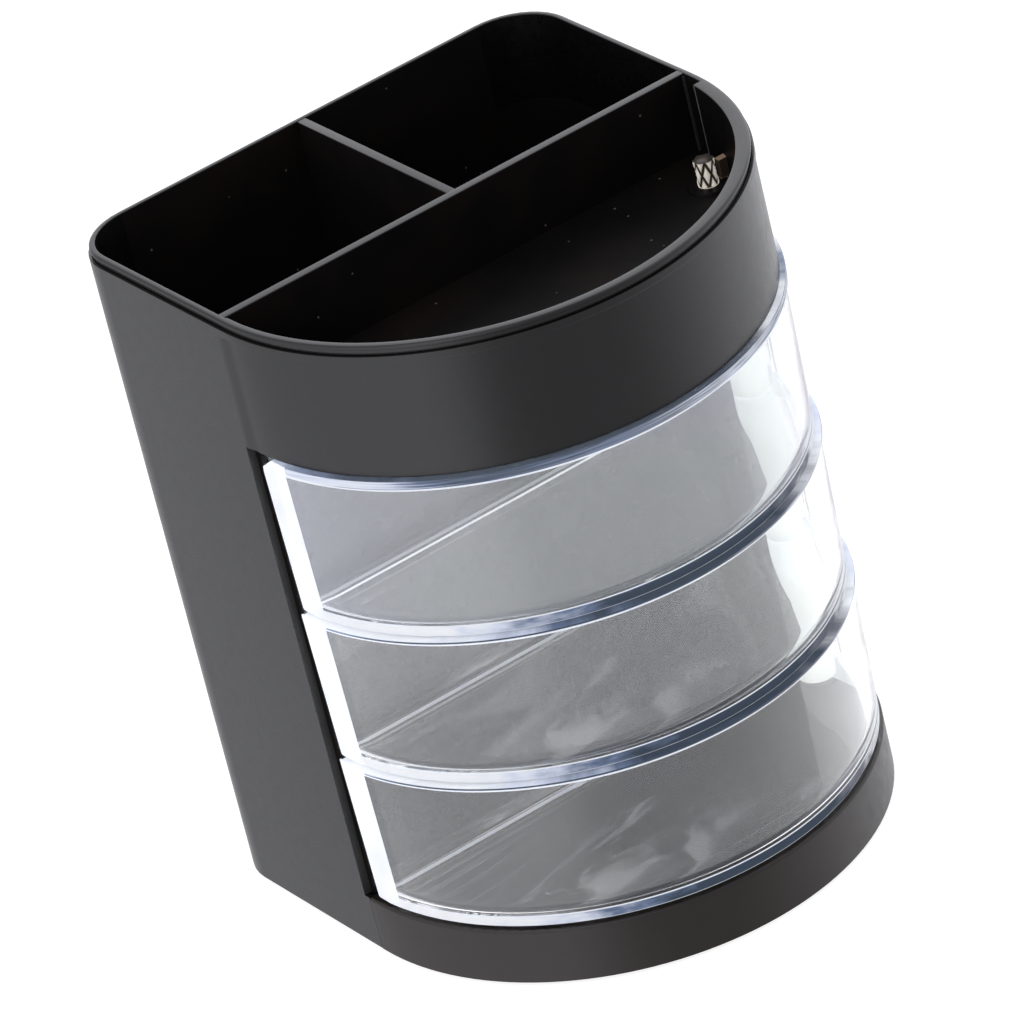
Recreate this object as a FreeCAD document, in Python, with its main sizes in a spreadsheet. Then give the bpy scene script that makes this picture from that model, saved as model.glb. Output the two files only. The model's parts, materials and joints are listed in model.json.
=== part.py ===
"""Desk organizer with three clear drawers that swing out on one vertical pin.

Every sub-part is modelled about the vertical axis of the half-round front, with z = 0 at the underside
of the plinth. Its Placement then moves it back by half of what the drawer lips stand proud in front,
and up onto the rubber feet, so the origin is the middle of the footprint on the table.
X runs to the right, Y to the back, Z up, in millimetres.
"""
import FreeCAD
import Part
import Sketcher
import os

V = FreeCAD.Vector

DIMENSIONS = {
    # modelling: how far a rib or boss is sunk into its neighbour, and how far a cut runs past the material
    "embed": 0.5,
    "past": 1.0,
    # casing
    "body_radius": 55.0,        # half width, and radius of the half-round front
    "rear_depth": 55.0,         # from the front's centre line to the back
    "rear_corner": 13.0,
    "body_height": 139.0,       # plinth underside to rim
    "wall": 1.7,
    "edge_round": 0.6,
    # top tray
    "rim_height": 0.8,
    "rim_inset": 0.4,           # the rim stands back this far from the casing's outer face
    "rim_gap": 1.1,             # shadow gap under the rim
    "front_rim": 2.7,           # from the outer face to the inside of the front tray's wall, at the front
    "front_rim_shift": 0.7,     # its inner arc lies this far to the left, so it grows to the right
    "front_rim_start": 4.6,     # and at the right it steps in this far ahead of the centre line
    "tray_skirt": 1.0,
    "tray_play": 0.1,
    "tray_depth": 16.5,
    "tray_floor": 2.0,
    "divider": 2.0,
    "rib_play": 0.2,
    # drawer bay
    "bulkhead_setback": 1.2,    # front face of the bulkhead behind the centre line
    "bulkhead": 2.0,
    "plinth_height": 11.6,
    "bay_height": 99.9,
    "side_setback": 2.7,        # front edges of the two side walls, beside the drawers
    "deck": 2.0,
    "bead_height": 1.5,         # bead at the top of the front band
    "band_recess": 0.3,
    # drawers
    "drawer_height": 31.9,
    "top_drawer_height": 34.3,
    "drawer_gap": 0.35,
    "plinth_gap": 0.75,         # under the lowest drawer
    "hub_rise": 0.3,            # hub above the rim: keeps the drawers apart
    "hub_play": 0.05,           # between a hub and what it turns on
    "drawer_radius": 55.2,
    "drawer_half_width": 54.95,
    "drawer_back": 0.5,         # drawer's back face behind the centre line
    "drawer_wall": 2.0,
    "drawer_floor": 2.1,
    "drawer_corner": 2.6,
    "lip_projection": 0.6,
    "lip_height": 0.9,
    "top_lip_height": 2.2,
    "web": 2.0,
    # pivot
    "pivot_across": 45.4,
    "pivot_forward": 12.1,
    "pin_radius": 2.0,
    "pin_play": 0.05,
    "hub_radius": 4.0,
    "head_radius": 2.3,
    "head_height": 5.6,
    "head_chamfer": 0.4,
    "tray_boss_radius": 4.2,
    "tray_boss_height": 0.5,
    "buttress": 1.6,            # rib from the pin's ring to the casing wall
    "buttress_height": 4.4,
    "socket_depth": 9.0,
    "socket_boss_radius": 4.5,
    # base, screws and feet
    "plinth_wall": 2.2,
    "plate": 2.5,
    "plate_play": 0.15,
    "seam": 0.1,
    "plinth_rib": 1.6,
    "plinth_rib_spacing": 18.0,
    "plinth_rib_foot": 1.0,     # the ribs stop this far above the plinth's underside
    "screw_across": 47.6,
    "screw_rear": 47.6,
    "screw_front": 6.3,
    "screw_boss_radius": 3.8,
    "screw_boss_height": 10.0,
    "screw_radius": 1.45,
    "screw_length": 8.5,
    "screw_play": 0.05,
    "screw_head_radius": 2.5,
    "screw_head_height": 1.1,
    "screw_sink_radius": 2.7,
    "screw_end_gap": 1.0,
    "foot_radius": 4.5,
    "foot_thickness": 1.5,
    "foot_drop": 0.8,
    "foot_pad_radius": 6.0,
    "foot_across_rear": 36.0,
    "foot_rear": 40.0,
    "foot_across_front": 27.0,
    "foot_front": 33.0,
}

doc = FreeCAD.newDocument("desk_organizer")
dims = doc.addObject("Spreadsheet::Sheet", "dims")
for row, (alias, value) in enumerate(DIMENSIONS.items(), start=1):
    dims.set(f"A{row}", alias)
    dims.set(f"B{row}", str(value))
    dims.setAlias(f"B{row}", alias)
doc.recompute()

# Heights and places that several sub-parts share, as expressions on the sheet.
CENTRE_Y = "(dims.drawer_radius + dims.lip_projection - dims.body_radius) / 2"
SHELL_TOP = "dims.body_height - dims.rim_height - dims.rim_gap"
SEAT_TOP = "dims.body_height - dims.tray_depth - dims.tray_floor"
BAND_BOTTOM = "dims.plinth_height + dims.bay_height"
DECK_TOP = BAND_BOTTOM + " + dims.deck"
BULKHEAD_BACK = "dims.bulkhead_setback + dims.bulkhead"
PIVOT_X = "dims.pivot_across"
PIVOT_Y = "-dims.pivot_forward"
PLATE_CLEAR = "dims.plate + dims.seam"
SCREW_TIP = "dims.screw_head_height + dims.screw_length"

ORIGIN_POINT = (-1, 1)
X_AXIS = -1
START, END, CENTRE = 1, 2, 3


def number(expression):
    """The present value of an expression on the sheet."""
    return float(dims.evalExpression(expression))


# ---------------------------------------------------------------- sketches

def new_body(label):
    body = doc.addObject("PartDesign::Body", label)
    body.Label = label
    body.setExpression("Placement.Base.y", CENTRE_Y)
    body.setExpression("Placement.Base.z", "dims.foot_drop")
    return body


def new_sketch(body, name, level="0", plane="XY_Plane"):
    """An empty sketch on one of the body's own origin planes, lifted to a level."""
    sketch = body.newObject("Sketcher::SketchObject", name)
    support = [item for item in body.Origin.OriginFeatures if item.Role == plane][0]
    sketch.AttachmentSupport = (support, [""])
    sketch.MapMode = "FlatFace"
    sketch.setExpression("AttachmentOffset.Base.z", level)
    return sketch


def bind(sketch, kind, *where_and_expression):
    """Add a dimension whose value follows the sheet."""
    where, expression = where_and_expression[:-1], where_and_expression[-1]
    index = sketch.addConstraint(Sketcher.Constraint(kind, *where, number(expression)))
    sketch.setExpression(f"Constraints[{index}]", expression)


def tie(sketch, kind, *where):
    sketch.addConstraint(Sketcher.Constraint(kind, *where))


def add_line(sketch, x0, y0, x1, y1):
    return sketch.addGeometry(Part.LineSegment(V(x0, y0, 0), V(x1, y1, 0)), False)


def add_arc(sketch, x, y, radius, first, last):
    """A counter-clockwise arc between two angles in radians."""
    circle = Part.Circle(V(x, y, 0), V(0, 0, 1), radius)
    return sketch.addGeometry(Part.ArcOfCircle(circle, first, last), False)


PI = 3.141592653589793


def draw_circle(sketch, x, y, radius):
    """A circle whose centre and radius are expressions."""
    geometry = Part.Circle(V(number(x), number(y), 0), V(0, 0, 1), number(radius))
    circle = sketch.addGeometry(geometry, False)
    bind(sketch, "DistanceX", *ORIGIN_POINT, circle, CENTRE, x)
    bind(sketch, "DistanceY", *ORIGIN_POINT, circle, CENTRE, y)
    bind(sketch, "Radius", circle, radius)


def draw_rectangle(sketch, x0, x1, y0, y1):
    """An upright rectangle between four expressions."""
    left, right, low, high = (number(side) for side in (x0, x1, y0, y1))
    bottom = add_line(sketch, left, low, right, low)
    east = add_line(sketch, right, low, right, high)
    top = add_line(sketch, right, high, left, high)
    west = add_line(sketch, left, high, left, low)
    sides = (bottom, east, top, west)
    for side, following in zip(sides, sides[1:] + sides[:1]):
        tie(sketch, "Coincident", side, END, following, START)
    for side in (bottom, top):
        tie(sketch, "Horizontal", side)
    for side in (east, west):
        tie(sketch, "Vertical", side)
    bind(sketch, "DistanceX", *ORIGIN_POINT, bottom, START, x0)
    bind(sketch, "DistanceY", *ORIGIN_POINT, bottom, START, y0)
    bind(sketch, "DistanceX", *ORIGIN_POINT, top, START, x1)
    bind(sketch, "DistanceY", *ORIGIN_POINT, top, START, y1)


def draw_rear_lines(sketch, inset, front_y):
    """The two sides, the back and its round corners; returns the right and the left side."""
    radius = number("dims.body_radius") - number(inset)
    depth = number("dims.rear_depth") - number(inset)
    corner = number("dims.rear_corner") - number(inset)
    right = add_line(sketch, radius, front_y, radius, depth - corner)
    right_corner = add_arc(sketch, radius - corner, depth - corner, corner, 0, PI / 2)
    back = add_line(sketch, radius - corner, depth, corner - radius, depth)
    left_corner = add_arc(sketch, corner - radius, depth - corner, corner, PI / 2, PI)
    left = add_line(sketch, -radius, depth - corner, -radius, front_y)
    chain = (right, right_corner, back, left_corner, left)
    for piece, following in zip(chain, chain[1:]):
        tie(sketch, "Tangent", piece, END, following, START)
    tie(sketch, "Vertical", right)
    tie(sketch, "Horizontal", back)
    tie(sketch, "Vertical", left)
    tie(sketch, "Equal", right_corner, left_corner)
    bind(sketch, "Radius", right_corner, f"dims.rear_corner - ({inset})")
    bind(sketch, "DistanceY", *ORIGIN_POINT, back, START, f"dims.rear_depth - ({inset})")
    return right, left


def draw_whole_outline(sketch, inset):
    """The casing's plan: half-round front, straight sides, round rear corners."""
    right, left = draw_rear_lines(sketch, inset, 0.0)
    front = add_arc(sketch, 0, 0, number(f"dims.body_radius - ({inset})"), PI, 2 * PI)
    tie(sketch, "Tangent", left, END, front, START)
    tie(sketch, "Tangent", front, END, right, START)
    tie(sketch, "Coincident", front, CENTRE, *ORIGIN_POINT)
    bind(sketch, "Radius", front, f"dims.body_radius - ({inset})")


def draw_rear_outline(sketch, inset, front_y):
    """The plan of the rear half only, closed by a straight line at front_y."""
    right, left = draw_rear_lines(sketch, inset, number(front_y))
    radius = number(f"dims.body_radius - ({inset})")
    front = add_line(sketch, -radius, number(front_y), radius, number(front_y))
    tie(sketch, "Coincident", left, END, front, START)
    tie(sketch, "Coincident", front, END, right, START)
    tie(sketch, "Horizontal", front)
    bind(sketch, "DistanceY", *ORIGIN_POINT, front, START, front_y)
    bind(sketch, "DistanceX", *ORIGIN_POINT, front, END, f"dims.body_radius - ({inset})")
    bind(sketch, "DistanceX", front, START, *ORIGIN_POINT, f"dims.body_radius - ({inset})")


def draw_front_outline(sketch, inset, back_y, shift="0"):
    """The plan of the half-round front, closed by a straight line at back_y and moved to the left by shift."""
    radius, back, middle = number(f"dims.body_radius - ({inset})"), number(back_y), -number(shift)
    front = add_arc(sketch, middle, 0, radius, PI, 2 * PI)
    right = add_line(sketch, middle + radius, 0, middle + radius, back)
    rear = add_line(sketch, middle + radius, back, middle - radius, back)
    left = add_line(sketch, middle - radius, back, middle - radius, 0)
    tie(sketch, "Tangent", front, END, right, START)
    tie(sketch, "Coincident", right, END, rear, START)
    tie(sketch, "Coincident", rear, END, left, START)
    tie(sketch, "Tangent", left, END, front, START)
    tie(sketch, "PointOnObject", front, CENTRE, X_AXIS)
    tie(sketch, "Vertical", right)
    tie(sketch, "Horizontal", rear)
    tie(sketch, "Vertical", left)
    bind(sketch, "DistanceX", *ORIGIN_POINT, right, START, f"dims.body_radius - ({inset}) - {shift}")
    bind(sketch, "DistanceX", rear, END, *ORIGIN_POINT, f"dims.body_radius - ({inset}) + {shift}")
    bind(sketch, "DistanceY", *ORIGIN_POINT, rear, START, back_y)


def draw_bow_outline(sketch, inset, back_y):
    """The part of the half-round front that lies ahead of a straight line at back_y."""
    radius, back = number(f"dims.body_radius - ({inset})"), number(back_y)
    half = (radius ** 2 - back ** 2) ** 0.5
    angle = V(half, back, 0).getAngle(V(1, 0, 0))
    front = add_arc(sketch, 0, 0, radius, PI + angle, 2 * PI - angle)
    rear = add_line(sketch, half, back, -half, back)
    tie(sketch, "Coincident", front, END, rear, START)
    tie(sketch, "Coincident", rear, END, front, START)
    tie(sketch, "Coincident", front, CENTRE, *ORIGIN_POINT)
    tie(sketch, "Horizontal", rear)
    bind(sketch, "Radius", front, f"dims.body_radius - ({inset})")
    bind(sketch, "DistanceY", rear, START, *ORIGIN_POINT, f"-({back_y})")


def draw_drawer_outline(sketch, radius, inset, corner):
    """A drawer's plan: the bowed front, and at its right rear an arc about the pivot, so it can turn."""
    bow = number(f"{radius} - ({inset})")
    half = number(f"dims.drawer_half_width - ({inset})")
    back_y = number(f"dims.drawer_back - ({inset})")
    turn = number(f"dims.pivot_forward + dims.drawer_back - ({inset})")
    pivot_x, pivot_y, small = number(PIVOT_X), number(PIVOT_Y), number(corner)
    side_y = -((bow ** 2 - half ** 2) ** 0.5)
    side_angle = V(half, side_y, 0).getAngle(V(1, 0, 0))
    turn_y = pivot_y + (turn ** 2 - (half - pivot_x) ** 2) ** 0.5
    turn_angle = V(half - pivot_x, turn_y - pivot_y, 0).getAngle(V(1, 0, 0))
    front = add_arc(sketch, 0, 0, bow, PI + side_angle, 2 * PI - side_angle)
    right = add_line(sketch, half, side_y, half, turn_y)
    around = add_arc(sketch, pivot_x, pivot_y, turn, turn_angle, PI / 2)
    back = add_line(sketch, pivot_x, back_y, small - half, back_y)
    rounded = add_arc(sketch, small - half, back_y - small, small, PI / 2, PI)
    left = add_line(sketch, -half, back_y - small, -half, side_y)
    tie(sketch, "Coincident", front, END, right, START)
    tie(sketch, "Coincident", right, END, around, START)
    tie(sketch, "Tangent", around, END, back, START)
    tie(sketch, "Tangent", back, END, rounded, START)
    tie(sketch, "Tangent", rounded, END, left, START)
    tie(sketch, "Coincident", left, END, front, START)
    tie(sketch, "Coincident", front, CENTRE, *ORIGIN_POINT)
    tie(sketch, "Vertical", right)
    tie(sketch, "Vertical", left)
    tie(sketch, "Horizontal", back)
    tie(sketch, "Horizontal", front, START, front, END)
    bind(sketch, "Radius", front, f"{radius} - ({inset})")
    bind(sketch, "Radius", rounded, corner)
    bind(sketch, "DistanceX", *ORIGIN_POINT, right, START, f"dims.drawer_half_width - ({inset})")
    bind(sketch, "DistanceX", *ORIGIN_POINT, around, CENTRE, PIVOT_X)
    bind(sketch, "DistanceY", *ORIGIN_POINT, around, CENTRE, PIVOT_Y)
    bind(sketch, "Radius", around, f"dims.pivot_forward + dims.drawer_back - ({inset})")


# ---------------------------------------------------------------- features

def pad(body, sketch, length):
    """Add material upwards from the sketch."""
    feature = body.newObject("PartDesign::Pad", sketch.Name + "_pad")
    feature.Profile = sketch
    feature.setExpression("Length", length)
    sketch.Visibility = False
    return finish(body, feature, grows=True)


def cut(body, sketch, length):
    """Take material away upwards from the sketch."""
    feature = body.newObject("PartDesign::Pocket", sketch.Name + "_cut")
    feature.Profile = sketch
    feature.Reversed = True
    feature.setExpression("Length", length)
    sketch.Visibility = False
    return finish(body, feature, grows=False)


def finish(body, feature, grows):
    """Recompute, and stop if the feature did nothing or worked the wrong way."""
    before = feature.BaseFeature.Shape.Volume if feature.BaseFeature else 0.0
    body.Tip = feature
    doc.recompute()
    change = feature.Shape.Volume - before
    if (change <= 0) if grows else (change >= 0):
        raise RuntimeError(f"{feature.Name} changed the volume by {change:.2f}")
    return feature


def round_edges(body, feature, size, wanted):
    """Round the edges of a feature that wanted(edge) picks."""
    names = [f"Edge{i}" for i, edge in enumerate(feature.Shape.Edges, start=1) if wanted(edge)]
    fillet = body.newObject("PartDesign::Fillet", feature.Name + "_round")
    fillet.Base = (feature, names)
    fillet.setExpression("Radius", size)
    body.Tip = fillet
    doc.recompute()
    return fillet


def lies_at(edge, level):
    """True for an edge that lies flat at a height in the body's own frame."""
    box = edge.BoundBox
    return abs(box.ZMin - level) < 1e-4 and abs(box.ZMax - level) < 1e-4


def corners(across, along):
    """The four combinations of a left and right place with two places front to back."""
    return [(f"{side}dims.{x}", y) for x, y in zip(across, along) for side in ("", "-")]


SCREWS = corners(("screw_across", "screw_across"), ("dims.screw_front", "dims.screw_rear"))
FEET = corners(("foot_across_rear", "foot_across_front"), ("dims.foot_rear", "-dims.foot_front"))


# ---------------------------------------------------------------- sub-parts

def make_outer_shell():
    body = new_body("outer_shell")

    outline = new_sketch(body, "shell_outline")
    draw_whole_outline(outline, "0")
    pad(body, outline, SHELL_TOP)

    seat = new_sketch(body, "tray_seat", SEAT_TOP)
    draw_whole_outline(seat, "dims.wall - dims.tray_skirt - dims.tray_play")
    cut(body, seat, f"({SHELL_TOP}) - ({SEAT_TOP}) + dims.past")

    wells = new_sketch(body, "rear_wells")
    draw_rear_outline(wells, "dims.wall", BULKHEAD_BACK)
    cut(body, wells, f"{SEAT_TOP} + dims.past")

    hollow = new_sketch(body, "band_hollow", DECK_TOP)
    draw_front_outline(hollow, "dims.wall", "dims.bulkhead_setback")
    cut(body, hollow, f"({SEAT_TOP}) - ({DECK_TOP}) + dims.past")

    bay = new_sketch(body, "drawer_bay")
    reach = "dims.body_radius + dims.past"
    draw_rectangle(bay, f"-({reach})", reach, f"-({reach})", "dims.bulkhead_setback")
    cut(body, bay, BAND_BOTTOM)
    for side, inner, outer in (("left", f"-({reach})", "dims.wall - dims.body_radius"),
                               ("right", "dims.body_radius - dims.wall", reach)):
        setback = new_sketch(body, f"{side}_wall_setback", "dims.plinth_height")
        draw_rectangle(setback, inner, outer, f"-({reach})", "dims.side_setback")
        cut(body, setback, "dims.bay_height")

    plate_recess = new_sketch(body, "plate_recess")
    draw_rear_outline(plate_recess, "dims.wall", "0")
    cut(body, plate_recess, PLATE_CLEAR)

    rib = new_sketch(body, "well_rib", PLATE_CLEAR)
    draw_rectangle(rib, "-dims.divider / 2", "dims.divider / 2",
                   f"{BULKHEAD_BACK} - dims.embed", "dims.rear_depth - dims.wall + dims.embed")
    pad(body, rib, f"({SEAT_TOP}) - dims.rib_play - ({PLATE_CLEAR})")

    band = new_sketch(body, "band_recess_profile", "0", "XZ_Plane")
    draw_rectangle(band, "dims.body_radius - dims.band_recess", "dims.body_radius + dims.past",
                   f"{BAND_BOTTOM} - dims.past", f"{SHELL_TOP} - dims.bead_height")
    groove = body.newObject("PartDesign::Groove", "band_recess_groove")
    groove.Profile = band
    groove.ReferenceAxis = (band, ["V_Axis"])
    groove.Angle = 180
    groove.Reversed = True
    finish(body, groove, grows=False)
    if groove.Shape.BoundBox.YMax < number("dims.rear_depth") - 0.01:
        raise RuntimeError("the band recess was cut at the back")

    for index, (x, y) in enumerate(SCREWS):
        boss = new_sketch(body, f"screw_boss_{index}", PLATE_CLEAR)
        draw_circle(boss, x, y, "dims.screw_boss_radius")
        pad(body, boss, "dims.screw_boss_height")
    for index, (x, y) in enumerate(SCREWS):
        pilot = new_sketch(body, f"screw_pilot_{index}", PLATE_CLEAR)
        draw_circle(pilot, x, y, "dims.screw_radius + dims.screw_play")
        cut(body, pilot, f"{SCREW_TIP} + dims.screw_end_gap - ({PLATE_CLEAR})")

    pin_boss = new_sketch(body, "pin_boss", DECK_TOP)
    draw_circle(pin_boss, PIVOT_X, PIVOT_Y, "dims.hub_radius")
    pad(body, pin_boss, f"({SEAT_TOP}) - ({DECK_TOP}) - dims.tray_play")
    pin_hole = new_sketch(body, "deck_pin_hole", BAND_BOTTOM)
    draw_circle(pin_hole, PIVOT_X, PIVOT_Y, "dims.pin_radius + dims.pin_play")
    last = cut(body, pin_hole, f"({SEAT_TOP}) - ({BAND_BOTTOM})")

    front_y, top = number("dims.side_setback"), number(BAND_BOTTOM)
    half = number("dims.body_radius")

    def side_wall_edge(edge):
        box = edge.BoundBox
        at_front = abs(box.YMin - front_y) < 1e-4 and abs(box.YMax - front_y) < 1e-4
        return at_front and abs(abs(box.Center.x) - half) < 1e-4 and box.ZLength > 0.5 * top
    round_edges(body, last, "dims.edge_round", side_wall_edge)
    return body


def make_top_tray():
    body = new_body("top_tray")
    outer_inset = "dims.wall - dims.tray_skirt"

    skirt = new_sketch(body, "skirt", SEAT_TOP)
    draw_whole_outline(skirt, outer_inset)
    pad(body, skirt, f"dims.body_height - ({SEAT_TOP})")

    rim = new_sketch(body, "rim", "dims.body_height - dims.rim_height")
    draw_whole_outline(rim, "dims.rim_inset")
    rim_pad = pad(body, rim, "dims.rim_height")

    top = number("dims.body_height")
    rounded = round_edges(body, rim_pad, "dims.edge_round", lambda edge: lies_at(edge, top))

    front = new_sketch(body, "front_tray", f"{SEAT_TOP} + dims.tray_floor")
    draw_front_outline(front, "dims.front_rim", "dims.bulkhead_setback", "dims.front_rim_shift")
    cut(body, front, "dims.tray_depth + dims.past")
    step = new_sketch(body, "front_tray_step", f"{SEAT_TOP} + dims.tray_floor")
    draw_rectangle(step, "0", "dims.body_radius - dims.wall", "-dims.front_rim_start", "dims.bulkhead_setback")
    cut(body, step, "dims.tray_depth + dims.past")

    wells = new_sketch(body, "well_openings", SEAT_TOP)
    draw_rear_outline(wells, "dims.wall", BULKHEAD_BACK)
    cut(body, wells, "dims.tray_depth + dims.tray_floor + dims.past")

    rib = new_sketch(body, "short_divider", SEAT_TOP)
    draw_rectangle(rib, "-dims.divider / 2", "dims.divider / 2",
                   f"{BULKHEAD_BACK} - dims.embed", "dims.rear_depth - dims.wall + dims.embed")
    pad(body, rib, "dims.tray_depth + dims.tray_floor")

    boss = new_sketch(body, "pin_ring", f"{SEAT_TOP} + dims.tray_floor - dims.embed")
    draw_circle(boss, PIVOT_X, PIVOT_Y, "dims.tray_boss_radius")
    pad(body, boss, "dims.tray_boss_height + dims.embed")
    buttress = new_sketch(body, "pin_buttress", f"{SEAT_TOP} + dims.tray_floor - dims.embed")
    draw_rectangle(buttress, f"{PIVOT_X} + dims.head_radius + dims.embed", "dims.body_radius - dims.front_rim",
                   f"{PIVOT_Y} - dims.buttress / 2", f"{PIVOT_Y} + dims.buttress / 2")
    pad(body, buttress, "dims.buttress_height + dims.embed")
    hole = new_sketch(body, "tray_pin_hole", SEAT_TOP)
    draw_circle(hole, PIVOT_X, PIVOT_Y, "dims.pin_radius + dims.pin_play")
    cut(body, hole, "dims.tray_floor + dims.tray_boss_height + dims.past")
    return body


def make_base():
    body = new_body("base")
    plinth_back = "dims.bulkhead_setback - dims.seam"

    plinth = new_sketch(body, "plinth")
    draw_front_outline(plinth, "0", plinth_back)
    plinth_pad = pad(body, plinth, "dims.plinth_height")
    top = number("dims.plinth_height")

    def front_arc(edge):
        return lies_at(edge, top) and edge.BoundBox.YMin < -1
    round_edges(body, plinth_pad, "dims.edge_round", front_arc)

    hollow = new_sketch(body, "plinth_hollow")
    draw_bow_outline(hollow, "dims.plinth_wall", f"{plinth_back} - dims.plinth_wall")
    cut(body, hollow, "dims.plinth_height - dims.plinth_wall")

    plate = new_sketch(body, "floor_plate")
    draw_rear_outline(plate, "dims.wall + dims.plate_play", f"{plinth_back} - dims.embed")
    pad(body, plate, "dims.plate")

    wall_middle = "(dims.body_radius - dims.plinth_wall / 2)"
    for index, across in enumerate(("-dims.plinth_rib_spacing", "0", "dims.plinth_rib_spacing")):
        rib = new_sketch(body, f"plinth_rib_{index}", "dims.plinth_rib_foot")
        draw_rectangle(rib, f"{across} - dims.plinth_rib / 2", f"{across} + dims.plinth_rib / 2",
                       f"-sqrt({wall_middle} ^ 2 - ({across}) ^ 2)", f"{plinth_back} - dims.embed")
        pad(body, rib, "dims.plinth_height - dims.plinth_wall - dims.plinth_rib_foot + dims.embed")

    for index, (x, y) in enumerate(FEET):
        if "front" in x:
            foot_pad = new_sketch(body, f"foot_pad_{index}")
            draw_circle(foot_pad, x, y, "dims.foot_pad_radius")
            pad(body, foot_pad, "dims.plinth_height - dims.plinth_wall + dims.embed")
    for index, (x, y) in enumerate(FEET):
        recess = new_sketch(body, f"foot_recess_{index}")
        draw_circle(recess, x, y, "dims.foot_radius")
        cut(body, recess, "dims.foot_thickness - dims.foot_drop")

    for index, (x, y) in enumerate(SCREWS):
        sink = new_sketch(body, f"screw_sink_{index}")
        draw_circle(sink, x, y, "dims.screw_sink_radius")
        cut(body, sink, "dims.screw_head_height + dims.seam")
        through = new_sketch(body, f"screw_hole_{index}")
        draw_circle(through, x, y, "dims.screw_radius + 2 * dims.screw_play")
        cut(body, through, "dims.plate + dims.past")

    socket_foot = "dims.plinth_height - dims.socket_depth"
    socket = new_sketch(body, "pin_socket_boss", f"{socket_foot} - dims.plinth_wall")
    draw_circle(socket, PIVOT_X, PIVOT_Y, "dims.socket_boss_radius")
    pad(body, socket, "dims.socket_depth + dims.plinth_wall")
    seat = new_sketch(body, "hub_seat", "dims.plinth_height - dims.embed")
    draw_circle(seat, PIVOT_X, PIVOT_Y, "dims.hub_radius")
    pad(body, seat, "dims.plinth_gap - dims.hub_play + dims.embed")
    bore = new_sketch(body, "pin_socket", socket_foot)
    draw_circle(bore, PIVOT_X, PIVOT_Y, "dims.pin_radius")
    cut(body, bore, "dims.socket_depth + dims.plinth_gap + dims.past")
    return body


def make_drawer(label, level, height, lip_height):
    """A clear drawer: D-shaped tub with a lip round the bowed front and a hub for the pin."""
    body = new_body(label)
    inset = "dims.drawer_wall"

    tub = new_sketch(body, label + "_outline", level)
    draw_drawer_outline(tub, "dims.drawer_radius", "0", "dims.drawer_corner")
    tub_pad = pad(body, tub, height)
    bottom = number(level)

    def foot_edge(edge):
        return lies_at(edge, bottom) and edge.BoundBox.YMin < -20
    round_edges(body, tub_pad, "dims.edge_round", foot_edge)

    lip = new_sketch(body, label + "_lip", f"{level} + {height} - {lip_height}")
    draw_drawer_outline(lip, "(dims.drawer_radius + dims.lip_projection)", "0", "dims.drawer_corner")
    pad(body, lip, lip_height)

    inside = new_sketch(body, label + "_inside", f"{level} + dims.drawer_floor")
    draw_drawer_outline(inside, "dims.drawer_radius", inset, "dims.drawer_corner / 2")
    cut(body, inside, f"{height} - dims.drawer_floor + dims.past")

    web = new_sketch(body, label + "_web", f"{level} + dims.drawer_floor - dims.embed")
    draw_rectangle(web, PIVOT_X, "dims.drawer_half_width - dims.drawer_wall / 2",
                   f"{PIVOT_Y} - dims.web / 2", f"{PIVOT_Y} + dims.web / 2")
    pad(body, web, f"{height} - dims.drawer_floor + dims.embed - {lip_height}")

    hub = new_sketch(body, label + "_hub", level)
    draw_circle(hub, PIVOT_X, PIVOT_Y, "dims.hub_radius")
    pad(body, hub, f"{height} + dims.hub_rise")
    bore = new_sketch(body, label + "_bore", f"{level} - dims.past")
    draw_circle(bore, PIVOT_X, PIVOT_Y, "dims.pin_radius + dims.pin_play")
    cut(body, bore, f"{height} + dims.hub_rise + 2 * dims.past")
    return body


def make_pivot_pin():
    body = new_body("pivot_pin")
    foot = "dims.plinth_height - dims.socket_depth"
    seat = f"{SEAT_TOP} + dims.tray_floor + dims.tray_boss_height"

    shank = new_sketch(body, "shank", foot)
    draw_circle(shank, PIVOT_X, PIVOT_Y, "dims.pin_radius")
    pad(body, shank, f"({seat}) - ({foot}) + dims.embed")
    head = new_sketch(body, "head", seat)
    draw_circle(head, PIVOT_X, PIVOT_Y, "dims.head_radius")
    head_pad = pad(body, head, "dims.head_height")

    top = number(f"{seat} + dims.head_height")
    names = [f"Edge{i}" for i, edge in enumerate(head_pad.Shape.Edges, start=1) if lies_at(edge, top)]
    chamfer = body.newObject("PartDesign::Chamfer", "head_chamfer_edge")
    chamfer.Base = (head_pad, names)
    chamfer.setExpression("Size", "dims.head_chamfer")
    body.Tip = chamfer
    doc.recompute()
    return body


def make_group(label, pieces):
    """Identical small pieces as one node: each piece is a fuse of cylinders (radius, level, height)."""
    solids = []
    for index, (x, y, cylinders) in enumerate(pieces):
        parts = []
        for number_in_piece, (radius, level, height) in enumerate(cylinders):
            cylinder = doc.addObject("Part::Cylinder", f"{label}_{index}_{number_in_piece}")
            cylinder.setExpression("Radius", radius)
            cylinder.setExpression("Height", height)
            cylinder.setExpression("Placement.Base.x", x)
            cylinder.setExpression("Placement.Base.y", f"{y} + {CENTRE_Y}")
            cylinder.setExpression("Placement.Base.z", f"{level} + dims.foot_drop")
            parts.append(cylinder)
        if len(parts) > 1:
            fuse = doc.addObject("Part::MultiFuse", f"{label}_{index}")
            fuse.Shapes = parts
            parts = [fuse]
        solids += parts
    group = doc.addObject("Part::Compound", label)
    group.Label = label
    group.Links = solids
    doc.recompute()
    return group


def make_base_screws():
    head = ("dims.screw_head_radius", "dims.seam", "dims.screw_head_height")
    shank = ("dims.screw_radius", "dims.screw_head_height", "dims.screw_length")
    return make_group("base_screws", [(x, y, (head, shank)) for x, y in SCREWS])


def make_rubber_feet():
    disc = ("dims.foot_radius", "-dims.foot_drop", "dims.foot_thickness")
    return make_group("rubber_feet", [(x, y, (disc,)) for x, y in FEET])


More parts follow.
